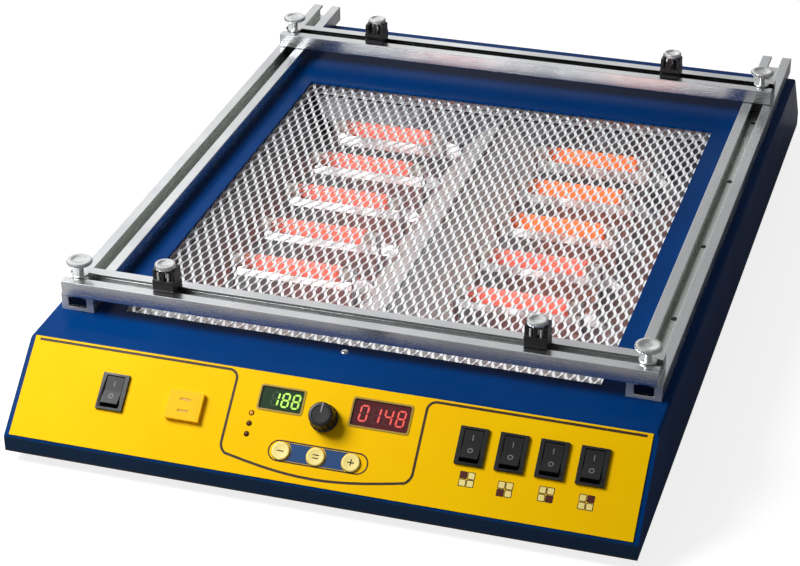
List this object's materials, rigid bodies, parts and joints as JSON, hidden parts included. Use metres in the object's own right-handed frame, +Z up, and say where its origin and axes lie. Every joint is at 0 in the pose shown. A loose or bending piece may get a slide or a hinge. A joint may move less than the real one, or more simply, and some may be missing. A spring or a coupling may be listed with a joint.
{
  "type": "infrared preheating oven",
  "caption": "Low wedge-shaped infrared preheating oven: lamps under a mesh grille, sloped control face, and slotted rails with sliding clamps that hold a circuit board.",
  "frame": {"origin": "on the bench, under the middle of the housing", "axes": "+X to the right as seen from the control face, +Y to the back, +Z up"},
  "size_m": [0.36, 0.542, 0.0935],
  "materials": {
    "base_plate": "satin black powder coat",
    "top_cover": "semi-gloss blue powder coat",
    "feet": "matt black rubber",
    "case_screws": "zinc-plated steel",
    "front_overlay": "satin yellow printed film",
    "grille": "bright expanded sheet",
    "grille_frame": "zinc-plated steel",
    "heater_tray": "aluminised steel",
    "insulation_board": "white ceramic-fibre board",
    "tray_spacers": "plain hexagon spacers",
    "reflector": "bright anodised reflector sheet",
    "quartz": "clear quartz tube, glowing",
    "lamp_filaments": "glowing coil",
    "lamp_end_caps": "white ceramic",
    "lamp_holders": "spring steel",
    "plate_sensor": "stainless sheath",
    "rail": "anodised extrusion",
    "rail_screws": "zinc-plated steel",
    "switch": "black moulded plastic",
    "thermocouple_socket": "yellow moulded plastic",
    "green_display": "green seven-segment display",
    "red_display": "red seven-segment display",
    "indicator_lights": "small indicator lights",
    "dial_potentiometer": "plated metal",
    "circuit_board": "green circuit board",
    "heat_sink": "extruded aluminium",
    "inlet": "black moulded plastic",
    "inlet_pins": "plated pins",
    "button": "pale yellow moulded plastic",
    "dial_knob": "black moulded plastic",
    "thumbscrew": "nickel-plated steel",
    "clamp": "black heat-resistant plastic"
  },
  "bodies": {
    "housing": {"base_plate": "base_plate", "top_cover": "top_cover", "feet": "feet", "case_screws": "case_screws", "front_overlay": "front_overlay", "grille": "grille", "grille_frame": "grille_frame", "heater_tray": "heater_tray", "insulation_board": "insulation_board", "tray_spacers": "tray_spacers", "reflector_left": "reflector", "reflector_right": "reflector", "lamps_front_left": "quartz", "lamps_front_right": "quartz", "lamps_back_left": "quartz", "lamps_back_right": "quartz", "lamp_filaments": "lamp_filaments", "lamp_end_caps": "lamp_end_caps", "lamp_holders": "lamp_holders", "plate_sensor": "plate_sensor", "side_rail_left": "rail", "side_rail_right": "rail", "rail_screws": "rail_screws", "power_switch_body": "switch", "zone_switch_bodies": "switch", "thermocouple_socket": "thermocouple_socket", "green_display": "green_display", "red_display": "red_display", "indicator_lights": "indicator_lights", "dial_potentiometer": "dial_potentiometer", "control_board": "circuit_board", "power_board": "circuit_board", "heat_sink": "heat_sink", "mains_inlet": "inlet", "inlet_pins": "inlet_pins", "fuse_holder": "inlet"},
    "power_rocker": {"power_rocker": "switch"},
    "zone_rocker_1": {"zone_rocker_1": "switch"},
    "zone_rocker_2": {"zone_rocker_2": "switch"},
    "zone_rocker_3": {"zone_rocker_3": "switch"},
    "zone_rocker_4": {"zone_rocker_4": "switch"},
    "left_button": {"left_button": "button"},
    "middle_button": {"middle_button": "button"},
    "right_button": {"right_button": "button"},
    "dial_knob": {"dial_knob": "dial_knob"},
    "front_rail": {"front_rail": "rail"},
    "back_rail": {"back_rail": "rail"},
    "lock_screw_front_left": {"lock_screw_front_left": "thumbscrew"},
    "clamp_front_left": {"clamp_front_left": "clamp"},
    "clamp_screw_front_left": {"clamp_screw_front_left": "thumbscrew"},
    "lock_screw_front_right": {"lock_screw_front_right": "thumbscrew"},
    "clamp_front_right": {"clamp_front_right": "clamp"},
    "clamp_screw_front_right": {"clamp_screw_front_right": "thumbscrew"},
    "lock_screw_back_left": {"lock_screw_back_left": "thumbscrew"},
    "clamp_back_left": {"clamp_back_left": "clamp"},
    "clamp_screw_back_left": {"clamp_screw_back_left": "thumbscrew"},
    "lock_screw_back_right": {"lock_screw_back_right": "thumbscrew"},
    "clamp_back_right": {"clamp_back_right": "clamp"},
    "clamp_screw_back_right": {"clamp_screw_back_right": "thumbscrew"}
  },
  "joints": [
    {"name": "power_rocker_tilt", "type": "hinge", "parent": "housing", "child": "power_rocker", "pos_m": [-0.123, -0.24349, 0.03767], "axis": [1, 0, 0], "range_deg": [0, 16]},
    {"name": "zone_rocker_1_tilt", "type": "hinge", "parent": "housing", "child": "zone_rocker_1", "pos_m": [0.083, -0.24148, 0.03947], "axis": [1, 0, 0], "range_deg": [0, 16]},
    {"name": "zone_rocker_2_tilt", "type": "hinge", "parent": "housing", "child": "zone_rocker_2", "pos_m": [0.105, -0.24148, 0.03947], "axis": [1, 0, 0], "range_deg": [0, 16]},
    {"name": "zone_rocker_3_tilt", "type": "hinge", "parent": "housing", "child": "zone_rocker_3", "pos_m": [0.127, -0.24148, 0.03947], "axis": [1, 0, 0], "range_deg": [0, 16]},
    {"name": "zone_rocker_4_tilt", "type": "hinge", "parent": "housing", "child": "zone_rocker_4", "pos_m": [0.149, -0.24148, 0.03947], "axis": [1, 0, 0], "range_deg": [0, 16]},
    {"name": "left_button_press", "type": "slide", "parent": "housing", "child": "left_button", "axis": [0, 0.6654, -0.7465], "range_m": [0, 0.0008], "stiffness_N_per_m": 400, "springref_m": -0.0005},
    {"name": "middle_button_press", "type": "slide", "parent": "housing", "child": "middle_button", "axis": [0, 0.6654, -0.7465], "range_m": [0, 0.0008], "stiffness_N_per_m": 400, "springref_m": -0.0005},
    {"name": "right_button_press", "type": "slide", "parent": "housing", "child": "right_button", "axis": [0, 0.6654, -0.7465], "range_m": [0, 0.0008], "stiffness_N_per_m": 400, "springref_m": -0.0005},
    {"name": "dial_turn", "type": "hinge", "parent": "housing", "child": "dial_knob", "pos_m": [0, -0.2418, 0.04253], "axis": [0, -0.6654, 0.7465], "range_deg": [-150, 150]},
    {"name": "front_rail_slide", "type": "slide", "parent": "housing", "child": "front_rail", "axis": [0, 1, 0], "range_m": [0, 0.165]},
    {"name": "back_rail_slide", "type": "slide", "parent": "housing", "child": "back_rail", "axis": [0, 1, 0], "range_m": [-0.165, 0.058]},
    {"name": "lock_screw_front_left_turn", "type": "hinge", "parent": "front_rail", "child": "lock_screw_front_left", "pos_m": [-0.165, -0.189, 0.0775], "axis": [0, 0, 1], "range_deg": [0, 360]},
    {"name": "clamp_front_left_slide", "type": "slide", "parent": "front_rail", "child": "clamp_front_left", "axis": [1, 0, 0], "range_m": [-0.036, 0.095]},
    {"name": "clamp_screw_front_left_turn", "type": "hinge", "parent": "clamp_front_left", "child": "clamp_screw_front_left", "pos_m": [-0.112, -0.189, 0.0895], "axis": [0, 0, 1], "range_deg": [0, 360]},
    {"name": "lock_screw_front_right_turn", "type": "hinge", "parent": "front_rail", "child": "lock_screw_front_right", "pos_m": [0.165, -0.189, 0.0775], "axis": [0, 0, 1], "range_deg": [0, 360]},
    {"name": "clamp_front_right_slide", "type": "slide", "parent": "front_rail", "child": "clamp_front_right", "axis": [1, 0, 0], "range_m": [-0.087, 0.044]},
    {"name": "clamp_screw_front_right_turn", "type": "hinge", "parent": "clamp_front_right", "child": "clamp_screw_front_right", "pos_m": [0.104, -0.189, 0.0895], "axis": [0, 0, 1], "range_deg": [0, 360]},
    {"name": "lock_screw_back_left_turn", "type": "hinge", "parent": "back_rail", "child": "lock_screw_back_left", "pos_m": [-0.165, 0.177, 0.0775], "axis": [0, 0, 1], "range_deg": [0, 360]},
    {"name": "clamp_back_left_slide", "type": "slide", "parent": "back_rail", "child": "clamp_back_left", "axis": [1, 0, 0], "range_m": [-0.044, 0.087]},
    {"name": "clamp_screw_back_left_turn", "type": "hinge", "parent": "clamp_back_left", "child": "clamp_screw_back_left", "pos_m": [-0.104, 0.177, 0.0895], "axis": [0, 0, 1], "range_deg": [0, 360]},
    {"name": "lock_screw_back_right_turn", "type": "hinge", "parent": "back_rail", "child": "lock_screw_back_right", "pos_m": [0.165, 0.177, 0.0775], "axis": [0, 0, 1], "range_deg": [0, 360]},
    {"name": "clamp_back_right_slide", "type": "slide", "parent": "back_rail", "child": "clamp_back_right", "axis": [1, 0, 0], "range_m": [-0.087, 0.044]},
    {"name": "clamp_screw_back_right_turn", "type": "hinge", "parent": "clamp_back_right", "child": "clamp_screw_back_right", "pos_m": [0.104, 0.177, 0.0895], "axis": [0, 0, 1], "range_deg": [0, 360]}
  ]
}
